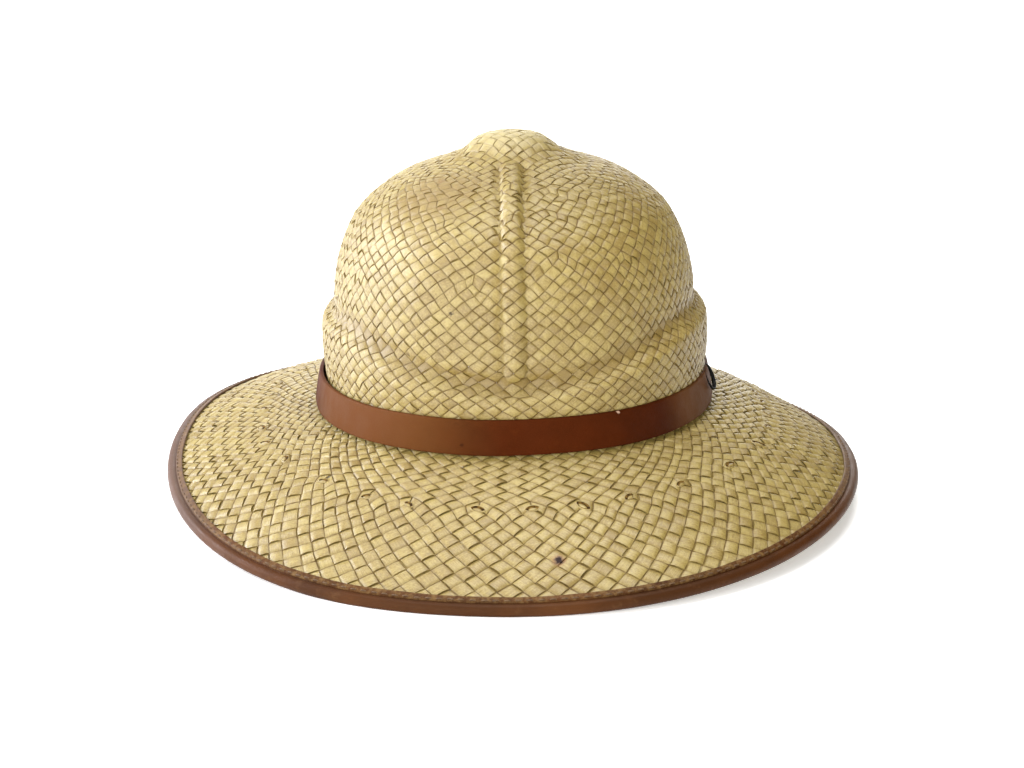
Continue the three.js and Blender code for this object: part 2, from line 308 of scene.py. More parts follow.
def crown_plain(angle, share):
    half_width = np.maximum(crown_column(CROWN_SECTIONS[:, 0], share), 1e-6)
    half_length = np.maximum(crown_column(CROWN_SECTIONS[:, 1], share), 1e-6)
    height = crown_column(CROWN_SECTIONS[:, 2], share)
    fold, side = fold_height(angle)
    radius = oval(angle, half_width, half_length, OVAL_POWER)
    radius = radius + FOLD_STEP * smooth((fold + FOLD_SOFTNESS - height) / (2 * FOLD_SOFTNESS))
    hollow = FOLD_HOLLOW + (FOLD_HOLLOW_SIDE - FOLD_HOLLOW) * side
    radius = radius - hollow * bell((height - fold - FOLD_HOLLOW_AT) / FOLD_HOLLOW_HALF)
    below = (fold - height) / (fold - BAND_TOP)
    swell = smooth((below - FOLD_SWELL_FROM) / FOLD_SWELL_RAMP)
    swell = swell * (1 - smooth((below - FOLD_SWELL_FADE_FROM) / FOLD_SWELL_FADE))
    radius = radius + FOLD_SWELL * swell
    height = height + BUTTON_RISE * (1 - smooth((radius - BUTTON_FLAT) / (BUTTON_RADIUS - BUTTON_FLAT)))
    height = height - CREASE_DEPTH * bell((radius - CREASE_AT) / CREASE_HALF)
    height = height + SHOULDER_RISE * bell((radius - SHOULDER_AT) / SHOULDER_HALF)
    return polar(angle, radius, height)


def crown_normal(angle, share):
    step = NORMAL_STEP
    mid = np.maximum(share, step)
    lower = crown_plain(angle, np.minimum(mid + step, 1))
    down = lower - crown_plain(angle, np.maximum(mid - step, step / 2))
    around = crown_plain(angle + step, mid) - crown_plain(angle - step, mid)
    return unit(np.cross(down, around))


def rib_rise(p):
    off = np.abs(p[..., 0])
    radius = np.hypot(p[..., 0], p[..., 1])
    crest = RIB_RISE * (1 - smooth((off - RIB_FLAT) / (RIB_HALF - RIB_FLAT)))
    groove = GROOVE_DEPTH * bell((off - RIB_HALF) / GROOVE_HALF)
    fade = smooth((radius - RIB_START) / RIB_FADE) * smooth((p[..., 2] - RIB_FOOT) / RIB_FOOT_FADE)
    return (crest - groove) * fade


def foot_radius(angle):
    return oval(angle, CROWN_SECTIONS[-1, 0], CROWN_SECTIONS[-1, 1], OVAL_POWER) + FOLD_STEP


def band_radius(angle):
    return foot_radius(angle) + BAND_GAP + BAND_SIDE_SLACK * np.minimum(0, np.sin(angle)) ** 2


def rim_point(angle):
    side = np.sin(angle)
    warp = RIM_SADDLE * side * side + RIM_TWIST * np.sin(2 * angle) - RIM_LEAN * side
    radius = oval(angle, RIM_HALF_WIDTH, RIM_HALF_LENGTH, RIM_POWER)
    return polar(angle, radius, RIM_REST + np.maximum(0, warp))


def brim_slope(angle, share):
    root = to_table(polar(angle, foot_radius(angle) + ROOT_REACH, ROOT_FOOT - WALL / 2))
    p = root + (rim_point(angle) - root) * share[..., None]
    bow = BRIM_BOW_FRONT + (BRIM_BOW_BACK - BRIM_BOW_FRONT) * (1 - np.cos(angle)) / 2
    p[..., 2] += bow * 4 * share * (1 - share)
    return p


def rim_directions(angle):
    along = unit(rim_point(angle + RIM_STEP) - rim_point(angle - RIM_STEP))
    out = rim_point(angle) - brim_slope(angle, np.full_like(angle, RIM_INSIDE))
    out = unit(out - along * (out * along).sum(-1, keepdims=True))
    return out, np.cross(out, along)


def crown_mid(angle, share):
    p = crown_plain(angle, share)
    lift = rib_rise(p) * RIB_RELIEF - WALL / 2
    return to_table(p + crown_normal(angle, share) * lift[..., None])


def brim_mid(angle, share):
    zero = np.zeros_like(angle)
    start = to_table(polar(angle, foot_radius(angle) - WALL / 2, CROWN_SECTIONS[-1, 2]))
    root = brim_slope(angle, zero)
    ahead = brim_slope(angle, zero + RIM_STEP) - root
    level = np.hypot(ahead[..., 0], ahead[..., 1])[..., None]
    control = root - ahead / level * (ROOT_REACH + WALL / 2)
    t = np.clip(share / BEND_SHARE, 0, 1)[..., None]
    bend = start * (1 - t) ** 2 + control * 2 * t * (1 - t) + root * t * t
    past = np.clip((share - BEND_SHARE) / (1 - BEND_SHARE), 0, None) * WEAVE_END
    return np.where((share < BEND_SHARE)[..., None], bend, brim_slope(angle, past))


def hat_surface(q):
    """Middle of the straw wall. q is a point of a flat disc: crown within 1, brim from 1 to 2."""
    reach = np.hypot(q[:, 0], q[:, 1])
    angle = np.arctan2(q[:, 0], q[:, 1])
    top = reach <= 1
    points = np.empty((len(q), 3))
    points[top] = crown_mid(angle[top], reach[top])
    points[~top] = brim_mid(angle[~top], reach[~top] - 1)
    return points


def disc(angle, reach):
    return np.stack([reach * np.sin(angle), reach * np.cos(angle)], -1)


# Plait net: rings of crossings from the top of the crown to the rim

def hat_measures():
    angles = np.radians(np.arange(0, 360, 5.0))
    shares = np.linspace(0, 2, 801)
    grid = hat_surface(disc(angles[:, None], shares[None, :]).reshape(-1, 2))
    grid = grid.reshape(len(angles), len(shares), 3)
    steps = np.linalg.norm(np.diff(grid, axis=1), axis=2)
    down = np.concatenate([np.zeros((len(angles), 1)), np.cumsum(steps, axis=1)], axis=1)
    girth = np.linalg.norm(np.roll(grid, -1, axis=0) - grid, axis=2).sum(0)
    return shares, down, girth


def strip_width(down):
    return np.interp(down, STRIP_AT, STRIP_WIDE)


def ring_step(down, count, mean_down, girth):
    wide = strip_width(down)
    half = min(np.interp(down, mean_down, girth) / (2 * count), RING_HALF_MOST * wide)
    return np.sqrt(wide * wide - half * half)


def grow_rings(mean_down, girth, rng):
    """Each ring's crossings with their parents in the ring above; one parent starts a strip."""
    rings, turn, parents = [[0]], [0.0], [()]
    ring_down = [0.0]
    waiting = list(INSERTS)
    planned = {}
    while True:
        level = len(rings) - 1
        above = rings[-1]
        count = len(above)
        here = ring_down[-1]
        step = CORNER_STEP * strip_width(here)
        if level >= CORNER_RINGS:
            step = ring_step(here, count, mean_down, girth)
        if here + step / 2 > mean_down[-1]:
            return rings, np.array(turn), parents, np.array(ring_down)
        if waiting and level >= CORNER_RINGS and here >= waiting[0][0] - step * waiting[0][2] / 2:
            _, number, spread = waiting.pop(0)
            phase = rng.uniform()
            for k in range(number):
                scatter = rng.uniform(-INSERT_SCATTER, INSERT_SCATTER) if spread > 1 else 0
                ring_at = level + int(rng.integers(spread))
                planned.setdefault(ring_at, []).append((k + phase + scatter) / number)
        starts = set()
        if 0 < level < CORNER_RINGS:
            starts = {k * level for k in range(4)}
        for at in planned.get(level, []):
            places = np.array([turn[v] for v in above])
            for j in np.argsort(np.abs((places - at + 0.5) % 1 - 0.5)):
                if not starts & {int(j), int(j - 1) % count, int(j + 1) % count}:
                    starts.add(int(j))
                    break
        ring = []
        for j, v in enumerate(above):
            after = above[(j + 1) % count]
            if level == 0:
                born = [(0.125 + 0.25 * k, (v,)) for k in range(4)]
            else:
                born = [(turn[v], (v,))] if j in starts else []
                born.append((turn[v] + ((turn[after] - turn[v]) % 1) / 2, (v, after)))
            for place, kin in born:
                ring.append(len(turn))
                turn.append(place)
                parents.append(kin)
        rings.append(ring)
        ring_down.append(here + step)


def place_rings(rings, turn, parents, ring_down, shares, down):
    """First places of the crossings on the disc: a square plait on top, then evenly spaced rings."""
    mean_down = down.mean(0)
    far = np.zeros(len(turn))
    turn = turn.copy()
    for level in range(1, CORNER_RINGS + 1):
        for j, v in enumerate(rings[level]):
            side, along = divmod(j, level)
            corner = 2 * np.pi * (0.125 + 0.25 * side)
            flat = disc(np.array(corner), level - along) + disc(np.array(corner + np.pi / 2), along)
            turn[v] = np.arctan2(flat[0], flat[1]) / (2 * np.pi)
            far[v] = np.hypot(*flat) * STRIP_WIDE[0]
    first = far[rings[CORNER_RINGS]].mean()
    start = ring_down[CORNER_RINGS]
    ring_down = first + (ring_down - start) * (mean_down[-1] - first) / (ring_down[-1] - start)
    for level in range(CORNER_RINGS + 1, len(rings)):
        ring = rings[level]
        carried = np.array([far[list(parents[v])].mean() for v in ring])
        far[ring] = (carried - carried.mean()) * CARRY_SHARE + ring_down[level]
    reach = np.empty(len(turn))
    for i, place in enumerate((turn % 1) * len(down)):
        low = int(place)
        mix = place - low
        line = down[low % len(down)] * (1 - mix) + down[(low + 1) % len(down)] * mix
        share = np.clip((far[i] - STRETCH_FROM) / STRETCH_OVER, 0, 1)
        stretch = (line[-1] / mean_down[-1]) ** share
        reach[i] = np.interp(far[i] * stretch, line, shares)
    return disc(2 * np.pi * turn, reach), ring_down


def relax_net(q, edges, wanted, last_ring):
    """Slides the crossings over the surface until the strips between them have their width."""
    total = len(q)
    valence = np.bincount(edges.ravel(), minlength=total).astype(float)
    kin = np.zeros((total, NEIGHBOURS_MOST), int)
    kin_count = np.zeros(total, int)
    for a, b in np.concatenate([edges, edges[:, ::-1]]):
        kin[a, kin_count[a]] = b
        kin_count[a] += 1
    groups = [(np.flatnonzero(kin_count == n), n) for n in (3, 4)]
    for step in range(RELAX_STEPS):
        p = hat_surface(q)
        tx = (hat_surface(q + [NUDGE, 0]) - p) / NUDGE
        ty = (hat_surface(q + [0, NUDGE]) - p) / NUDGE
        gap = p[edges[:, 1]] - p[edges[:, 0]]
        length = np.linalg.norm(gap, axis=1)
        pull = gap * (RELAX_PULL * (1 - wanted / np.maximum(length, 1e-6)))[:, None]
        move = np.empty_like(p)
        for axis in range(3):
            ahead = np.bincount(edges[:, 0], pull[:, axis], total)
            move[:, axis] = ahead - np.bincount(edges[:, 1], pull[:, axis], total)
        move *= RELAX_MOVE / valence[:, None]
        stiff = np.interp(step / RELAX_STEPS, STIFF_AT, STIFF)
        for members, n in groups:
            move[members] += stiff * (p[kin[members, :n]].mean(1) - p[members])
        xx, yy, xy = (tx * tx).sum(1), (ty * ty).sum(1), (tx * ty).sum(1)
        mx, my = (tx * move).sum(1), (ty * move).sum(1)
        area = np.maximum(xx * yy - xy * xy, 1e-6)
        slide = np.stack([(mx * yy - my * xy) / area, (my * xx - mx * xy) / area], -1)
        slide[0] = 0
        q = q + slide
        reach = np.linalg.norm(q, axis=1)
        held = reach > 2
        held[last_ring] = True
        q[held] *= (2 / reach[held])[:, None]
    return q


def strip_ends(edges, cells):
    """The edges at which each cell's two strips enter and leave it."""
    edge_at = {(a, b): i for i, (a, b) in enumerate(edges)}
    top, left, right, bottom = cells.T

    def edge_ids(a, b):
        return np.array([edge_at[pair] for pair in zip(a, b)])

    near = np.concatenate([edge_ids(top, right), edge_ids(top, left)])
    far = np.concatenate([edge_ids(left, bottom), edge_ids(right, bottom)])
    return near, far


def strip_labels(near, far, edge_count):
    label = np.arange(len(near))
    while True:
        at_edge = np.full(edge_count, len(near))
        np.minimum.at(at_edge, near, label)
        np.minimum.at(at_edge, far, label)
        lower = np.minimum(label, np.minimum(at_edge[near], at_edge[far]))
        if (lower == label).all():
            return label
        label = lower


def plait_net(rng):
    shares, down, girth = hat_measures()
    rings, turn, parents, ring_down = grow_rings(down.mean(0), girth, rng)
    q, ring_down = place_rings(rings, turn, parents, ring_down, shares, down)
    level_of = np.concatenate([np.full(len(ring), level) for level, ring in enumerate(rings)])
    edges = np.array([(p, v) for v, kin in enumerate(parents) for p in kin])
    below = {kin: v for v, kin in enumerate(parents) if len(kin) == 2}
    cells = []
    for ring in rings[1:-1]:
        for j, left in enumerate(ring):
            right = ring[(j + 1) % len(ring)]
            top = parents[left][-1]
            cells.append((top, left, right, below[(left, right)]))
    cells = np.array(cells)
    near, far = strip_ends(edges, cells)
    label = strip_labels(near, far, len(edges))
    variety = 1 + rng.normal(0, STRIP_VARIETY, len(near))[label]
    wanted = strip_width(ring_down[level_of[edges[:, 1]]])
    wanted[level_of[edges[:, 1]] == len(rings) - 1] *= LAST_ROW_SHARE
    wanted[near] *= variety
    free_far = ~np.isin(far, near)
    wanted[far[free_far]] *= variety[free_far]
    q = relax_net(q, edges, wanted, rings[-1])
    inner = slice(1, rings[-1][0])
    q[inner] += rng.normal(0, CROSSING_WOBBLE, q[inner].shape)
    outer = ring_down[level_of] > SLIT_FROM
    forks = [(kin[0], v) for v, kin in enumerate(parents) if len(kin) == 1 and outer[v]]
    return q, edges, cells, level_of, near, far, label, np.array(forks)


# Strips: two to a cell, one over and one under, changing places from ring to ring

SECTION_SLOTS = 6
ACROSS_OF_SLOT = np.array([0.0, 0.5, 1.0, 1.0, 0.5, 0.0, 0.0])
WRAP_OF_SLOT = np.cumsum([0.0, 0.22, 0.22, 0.06, 0.22, 0.22, 0.06])
SHARP_SLOTS = (0, 2, 3, 5)


def strip_sections(q_left, q_mid, q_right, lift, lean):
    """Six points round each strip section, from three places across it on the disc."""
    columns = []
    for q, crowning, side in ((q_left, 0.0, -1), (q_mid, STRIP_CROWNING, 0), (q_right, 0.0, 1)):
        p = hat_surface(q)
        tx = hat_surface(q + [NUDGE, 0]) - p
        ty = hat_surface(q + [0, NUDGE]) - p
        normal = unit(np.cross(ty, tx))
        middle = lift + side * lean
        high = p + normal * (middle + STRIP_HALF_THICK + crowning)[:, None]
        low = p + normal * (middle - STRIP_HALF_THICK - crowning)[:, None]
        columns.append((high, low))
    (left_high, left_low), (mid_high, mid_low), (right_high, right_low) = columns
    return np.stack([left_high, mid_high, right_high, right_low, mid_low, left_low], axis=1)


def plait_strips(rng):
    q, edges, cells, level_of, near, far, label, forks = plait_net(rng)
    top, left, right, bottom = cells.T
    pairs = ((top, top), (right, left), (left, right), (bottom, bottom))
    corners = [np.concatenate(pair) for pair in pairs]
    even = level_of[left] % 2 == 0
    over = np.where(np.concatenate([even, ~even]), 1.0, -1.0)
    flip = np.repeat([True, False], len(cells))
    fill_of_strip = STRIP_OVER_FILL + rng.normal(0, FILL_BY_STRIP, len(near))
    fill = fill_of_strip[label] + rng.normal(0, FILL_BY_CELL, len(near))
    fill = np.where(over > 0, np.clip(fill, FILL_LEAST, FILL_MOST), STRIP_UNDER_FILL)
    shift = rng.normal(0, STRIP_SHIFT, len(near))
    lean = rng.normal(0, STRIP_LEAN, len(near))
    centre = sum(q[c] for c in corners) / 4
    share = np.interp(np.hypot(centre[:, 0], centre[:, 1]), LIFT_CHANGE, (CROWN_LIFT_SHARE, 1.0))
    lift = over * STRIP_LIFT * share * (1 + rng.normal(0, LIFT_VARIETY, len(near)))

    a, b = q[edges[:, 0]], q[edges[:, 1]]
    spread = [a + (b - a) * (0.5 + s * STRIP_END_FILL / 2) for s in (-1, 0, 1)]
    level = np.zeros(len(edges))
    sections = [strip_sections(*spread, level, level)]
    near_a, near_b, far_a, far_b = (q[c] for c in corners)
    for station in STRIP_STATIONS:
        side_a = near_a + (far_a - near_a) * station
        side_b = near_b + (far_b - near_b) * station
        gap = side_b - side_a
        spread = [side_a + gap * (0.5 + shift + s * fill / 2)[:, None] for s in (-1, 0, 1)]
        bulge = 1 - np.abs(2 * station - 1) ** 4
        sections.append(strip_sections(*spread, lift * bulge, lean * bulge))
    points = np.concatenate(sections)
    count = len(near)
    between = [len(edges) + k * count + np.arange(count) for k in range(len(STRIP_STATIONS))]
    return points, np.stack([near, *between, far], axis=1), flip, label, centre, q[forks]


def strip_piece(name, points, runs, flip, label, tone, rng):
    """One joined mesh of strips, with a map across and along each and one tile a strip for baking."""
    used, inverse = np.unique(runs, return_inverse=True)
    runs = inverse.reshape(runs.shape)
    vertices = points[used].reshape(-1, 3) * MM
    count = len(runs)
    segments = runs.shape[1] - 1
    stations = np.array([0.0, *STRIP_STATIONS, 1.0])
    side = int(np.ceil(np.sqrt(count)))
    tile = np.stack([np.arange(count) % side, np.arange(count) // side], -1) / side
    quads, strip_uv, bake_uv = [], [], []
    for i in range(segments):
        for k in range(SECTION_SLOTS):
            steps = ((i, k), (i, k + 1), (i + 1, k + 1), (i + 1, k))
            ids = np.stack([runs[:, r] * SECTION_SLOTS + s % SECTION_SLOTS for r, s in steps], -1)
            across = np.array([ACROSS_OF_SLOT[s] for _, s in steps])
            if k == SECTION_SLOTS - 1:
                across[:] = 0.0
            along = np.array([stations[r] for r, _ in steps])
            wrap = np.array([WRAP_OF_SLOT[s] for _, s in steps])
            flat = np.stack([across, along], -1)
            packed = BAKE_MARGIN + (1 - 2 * BAKE_MARGIN) * np.stack([wrap, along], -1)
            order = np.where(flip[:, None], [0, 3, 2, 1], [0, 1, 2, 3])
            quads.append(np.take_along_axis(ids, order, 1))
            strip_uv.append(flat[order])
            bake_uv.append(tile[:, None, :] + packed[order] / side)
    quads = np.stack(quads, 1).reshape(-1, 4)
    strip_uv = np.stack(strip_uv, 1).reshape(-1, 2)
    bake_uv = np.stack(bake_uv, 1).reshape(-1, 2)
    mesh = quad_mesh(name, vertices, quads)
    for map_name, values in (("strip", strip_uv), ("OFBake", bake_uv)):
        layer = mesh.uv_layers.new(name=map_name)
        layer.data.foreach_set("uv", values.astype(np.float32).ravel())
    per_strip = segments * SECTION_SLOTS
    cell_tone = tone + rng.normal(0, TONE_BY_CELL, count)
    add_values(mesh, "tone", np.repeat(np.clip(cell_tone, 0, 1), per_strip), "FACE")
    add_values(mesh, "seed", np.repeat((label * GOLDEN_SHARE) % 1, per_strip), "FACE")
    ends = np.empty(len(mesh.edges) * 2, np.int32)
    mesh.edges.foreach_get("vertices", ends)
    ends = ends.reshape(-1, 2)
    slots = ends % SECTION_SLOTS
    long_edge = (slots[:, 0] == slots[:, 1]) & np.isin(slots[:, 0], SHARP_SLOTS)
    add_values(mesh, "sharp_edge", long_edge, "EDGE", "BOOLEAN")
    return link_piece(name, mesh)


def fold_slits(forks, rng):
    """Flat loops with a raised lip and a groove inside it painted dark as shade, one at each fork, in one
    mesh.
    """
    above, tip = hat_surface(forks[:, 0]), hat_surface(forks[:, 1])
    tx = hat_surface(forks[:, 1] + [NUDGE, 0]) - tip
    ty = hat_surface(forks[:, 1] + [0, NUDGE]) - tip
    normal = unit(np.cross(ty, tx))
    out = unit(tip - above)
    side = np.cross(out, normal)
    count, rows = len(forks), len(SLIT_ROWS)
    lean = rng.normal(0, SLIT_TURN, count)[:, None]
    size = rng.uniform(SLIT_LEAST, SLIT_MOST, count)[:, None]
    long_way = (side * np.cos(lean) + out * np.sin(lean))[:, None]
    wide_way = (out * np.cos(lean) - side * np.sin(lean))[:, None]
    turn = np.arange(SLIT_COLUMNS) * 2 * np.pi / SLIT_COLUMNS
    top = STRIP_LIFT + STRIP_HALF_THICK + STRIP_CROWNING
    points = np.empty((count, rows, SLIT_COLUMNS, 3))
    for row, (inset, rise) in enumerate(SLIT_ROWS):
        along = size * max(SLIT_HALF_LONG - SLIT_TAPER * inset, SLIT_HALF_LEAST) * np.cos(turn)
        across = size * max(SLIT_HALF_WIDE - inset, 0.0) * np.sin(turn) * np.abs(np.sin(turn)) ** SLIT_ROUND
        if row >= SLIT_TONGUE_ROW:
            across = across + SLIT_TONGUE_SHIFT
        base = (tip + normal * (top + rise))[:, None]
        points[:, row] = base + long_way * along[..., None] + wide_way * across[..., None]
    ranges = (np.arange(count), np.arange(rows - 1), np.arange(SLIT_COLUMNS))
    slit, r, c = np.meshgrid(*ranges, indexing="ij")
    quads, share = [], []
    for dr, dc in ((0, 0), (1, 0), (1, 1), (0, 1)):
        quads.append((slit * rows + r + dr) * SLIT_COLUMNS + (c + dc) % SLIT_COLUMNS)
        share.append(np.stack([(r + dr) / rows, (c + dc) / SLIT_COLUMNS], -1))
    mesh = quad_mesh("brim_fold_slits", points.reshape(-1, 3) * MM, np.stack(quads, -1).reshape(-1, 4))
    tiles = int(np.ceil(np.sqrt(count)))
    tile = np.stack([slit % tiles, slit // tiles], -1)[..., None, :]
    share = np.stack(share, -2)
    packed = tile + BAKE_MARGIN + (1 - 2 * BAKE_MARGIN) * share
    strip_uv = SLIT_MAP_FROM + SLIT_MAP_SPAN * share
    for map_name, values in (("strip", strip_uv), ("OFBake", packed / tiles)):
        layer = mesh.uv_layers.new(name=map_name)
        layer.data.foreach_set("uv", values.astype(np.float32).ravel())
    add_values(mesh, "tone", np.full(len(mesh.polygons), SLIT_TONE), "FACE")
    seeds = np.repeat(rng.uniform(size=count), (rows - 1) * SLIT_COLUMNS)
    add_values(mesh, "seed", seeds, "FACE")
    mesh.polygons.foreach_set("material_index", np.isin(r, SLIT_SHADED_ROWS).astype(np.int32).ravel())
    return link_piece("brim_fold_slits", mesh)


# Mesh helpers

def quad_mesh(name, vertices, quads):
    mesh = bpy.data.meshes.new(name)
    mesh.vertices.add(len(vertices))
    mesh.vertices.foreach_set("co", np.asarray(vertices, np.float32).ravel())
    mesh.loops.add(quads.size)
    mesh.loops.foreach_set("vertex_index", np.asarray(quads, np.int32).ravel())
    mesh.polygons.add(len(quads))
    mesh.polygons.foreach_set("loop_start", np.arange(0, quads.size, 4, dtype=np.int32))
    mesh.update(calc_edges=True)
    mesh.shade_smooth()
    return mesh


def add_values(mesh, name, values, domain, kind="FLOAT"):
    layer = mesh.attributes.get(name) or mesh.attributes.new(name, kind, domain)
    layer.data.foreach_set("value", np.asarray(values))


def link_piece(name, mesh):
    piece = bpy.data.objects.new(name, mesh)
    bpy.context.scene.collection.objects.link(piece)
    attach(piece, "root")
    return piece


def ring_piece(name, rings):
    """A closed loop skin from rings[section point, column, xyz] in metres, with a map for baking."""
    rows, columns = rings.shape[:2]
    r, c = np.meshgrid(np.arange(rows), np.arange(columns), indexing="ij")
    r2, c2 = (r + 1) % rows, (c + 1) % columns
    quads = [r * columns + c, r * columns + c2, r2 * columns + c2, r2 * columns + c]
    mesh = quad_mesh(name, rings.reshape(-1, 3), np.stack(quads, -1).reshape(-1, 4))
    u = np.stack([c, c + 1, c + 1, c], -1) / columns
    v = np.stack([r, r, r + 1, r + 1], -1) / rows
    layer = mesh.uv_layers.new(name="OFBake")
    layer.data.foreach_set("uv", np.stack([u, v], -1).astype(np.float32).ravel())
    return link_piece(name, mesh)


# Leather

CORNER_SHARE = 0.45


def rounded(profile, radius, steps=4):
    """A closed outline with its corners rounded. profile rows are x, y; radius is one number a corner."""
    out = []
    total = len(profile)
    for i, corner in enumerate(profile):
        before, after = profile[i - 1] - corner, profile[(i + 1) % total] - corner
        room = CORNER_SHARE * min(np.linalg.norm(before), np.linalg.norm(after))
        reach = min(radius[i], room)
        if reach < 1e-4:
            out.append(corner)
            continue
        start, end = corner + unit(before) * reach, corner + unit(after) * reach
        for t in np.linspace(0, 1, steps + 1):
            out.append(start * (1 - t) ** 2 + corner * 2 * t * (1 - t) + end * t * t)
    return np.array(out)


def waver(angle, rng, waves, size):
    total = np.zeros_like(angle)
    for k in waves:
        total += np.cos(k * angle + rng.uniform(0, 2 * np.pi)) / len(waves)
    return size * total


def hat_band(rng):
    angle = np.arange(BAND_COLUMNS) * 2 * np.pi / BAND_COLUMNS
    table = np.array(BAND_OUTLINE)
    reach = waver(angle, rng, BAND_REACH_WAVES, BAND_REACH_WAVER)
    drift = waver(angle, rng, BAND_DRIFT_WAVES, BAND_DRIFT_WAVER)
    rings = []
    for out, height in rounded(table[:, :2], table[:, 2]):
        flare = BAND_FLARE * (BAND_TOP - height) / (BAND_TOP - BAND_FOOT)
        swell = reach * (out / BAND_THICK)
        rings.append(to_table(polar(angle, band_radius(angle) + out + flare + swell, height + drift)))
    return ring_piece("hat_band_strap", np.array(rings)[::-1] * MM)


def binding_section():
    slot = WALL / 2 + SLOT_PLAY
    upper = [(-inward, slot + rise, corner) for inward, rise, corner in FLANGE_OUTLINE]
    roll = []
    for turn in np.linspace(ROLL_ARC, -ROLL_ARC, ROLL_STEPS):
        roll.append((ROLL_RADIUS * np.cos(turn), ROLL_RADIUS * np.sin(turn), 0.0))
    lower = [(out, -up, corner) for out, up, corner in reversed(upper)]
    inner = [(-SLOT_DEPTH, -slot, SLOT_ROUND), (-SLOT_DEPTH, slot, SLOT_ROUND)]
    table = np.array(upper + roll + lower + inner)
    return rounded(table[:, :2], table[:, 2])


def rim_place(angle, out, up):
    direction, lift = rim_directions(angle)
    p = rim_point(angle) + direction * np.asarray(out)[..., None] + lift * np.asarray(up)[..., None]
    p[..., 2] = np.maximum(p[..., 2], 0)
    return p


def brim_binding(rng):
    angle = np.arange(BINDING_COLUMNS) * 2 * np.pi / BINDING_COLUMNS
    swell = waver(angle, rng, BINDING_SWELL_WAVES, BINDING_SWELL)
    edge = waver(angle, rng, BINDING_EDGE_WAVES, BINDING_EDGE_WAVER)
    section = binding_section()
    rings = []
    for out, up in section:
        inner = smooth((-out - BINDING_EDGE_FROM) / BINDING_EDGE_RAMP)
        rings.append(rim_place(angle, out + edge * inner, up + swell * np.sign(up)))
    piece = ring_piece("brim_binding_leather", np.array(rings) * MM)
    on_flange = (section[:, 0] < -FLANGE_INNER) & (section[:, 1] > 0)
    add_values(piece.data, "flange", np.repeat(on_flange, BINDING_COLUMNS).astype(float), "POINT")
    return piece


def rim_arc():
    angle = np.linspace(0, 2 * np.pi, 2001)
    p = rim_place(angle, np.full_like(angle, STITCH_LINE), np.zeros_like(angle))
    run = np.concatenate([[0], np.cumsum(np.linalg.norm(np.diff(p, axis=0), axis=1))])
    return angle, run


def stitches(rng):
    """Rows of thread stitches along the binding, above and below the brim, in one mesh."""
    angle, run = rim_arc()
    number = int(run[-1] / STITCH_PITCH)
    centres = (np.arange(number) + 0.5) * run[-1] / number + rng.normal(0, STITCH_SCATTER, number)
    top = WALL / 2 + SLOT_PLAY + FLANGE_THICK
    turn = np.arange(STITCH_SIDES) * 2 * np.pi / STITCH_SIDES
    vertices, quads = [], []
    for face in (1, -1):
        for centre in centres:
            t = np.linspace(-1, 1, STITCH_STEPS)
            at = np.interp(centre + t * STITCH_LONG / 2, run, angle)
            line = np.full_like(at, STITCH_LINE + rng.normal(0, STITCH_WANDER))
            rise = top + STITCH_STAND - STITCH_DIVE * t ** 4
            path = rim_place(at, line, face * rise)
            out, up = rim_directions(at)
            thick = STITCH_THICK * np.sqrt(np.maximum(STITCH_TAPER - t ** 2, STITCH_END))
            base = len(vertices) * STITCH_SIDES
            for i in range(STITCH_STEPS):
                sideways = np.cos(turn)[:, None] * out[i] * STITCH_WIDEN
                vertices.append(path[i] + thick[i] * (sideways + np.sin(turn)[:, None] * up[i]))
            for i in range(STITCH_STEPS - 1):
                for k in range(STITCH_SIDES):
                    k2 = (k + 1) % STITCH_SIDES
                    near, ahead = base + i * STITCH_SIDES, base + (i + 1) * STITCH_SIDES
                    quads.append((near + k, near + k2, ahead + k2, ahead + k))
    points = np.concatenate(vertices) * MM
    points[:, 2] = np.maximum(points[:, 2], STITCH_LOWEST * MM)
    return link_piece("binding_stitches", quad_mesh("binding_stitches", points, np.array(quads)))


def side_ring():
    turn = np.arange(RING_STEPS) * 2 * np.pi / RING_STEPS
    section = np.arange(RING_SIDES) * 2 * np.pi / RING_SIDES
    turn, section = np.meshgrid(turn, section, indexing="ij")
    wire = RING_WIRE * (RING_WIRE_MEAN + RING_WIRE_SWING * np.cos(turn - RING_THICK_AT))
    reach = RING_RADIUS + wire * np.cos(section)
    lean = np.pi / 2 - RING_LEAN
    x, y, z = reach * np.cos(turn), reach * np.sin(turn), wire * np.sin(section)
    x, z = x * np.cos(lean) + z * np.sin(lean), z * np.cos(lean) - x * np.sin(lean)
    c, s = np.cos(RING_TURN), np.sin(RING_TURN)
    middle = polar(RING_ANGLE, band_radius(RING_ANGLE) + BAND_THICK + RING_OUT, RING_HEIGHT)
    p = to_table(middle + np.stack([x * c + y * s, y * c - x * s, z], -1))
    return ring_piece("side_ring_wire", p.transpose(1, 0, 2) * MM)


# Materials, with colours as the 0 to 255 values seen on a screen

STRAW_PALE = (165, 146, 84)
STRAW_DEEP = (128, 105, 48)
# painted shade: the colour each strip takes towards its edges and ends, where its curve turns away from the
# light
STRAW_EDGE_SHADE = (110, 86, 30)
# painted shade, partly dirt: the brown of the gaps where strips dive under one another
STRAW_GAP_SHADE = (86, 60, 8)
# strength of the painted shade, partly dirt, in the gaps along the strips' edges and across their ends,
# where they pass under their neighbours
CROWN_GAP_SHADE = (0.35, 0.9)
BRIM_GAP_SHADE = (0.3, 0.85)
# painted shade: dark browns for the inside of the fold loops
SLIT_SHADE_COLOURS = ((46, 30, 10), (110, 84, 40))
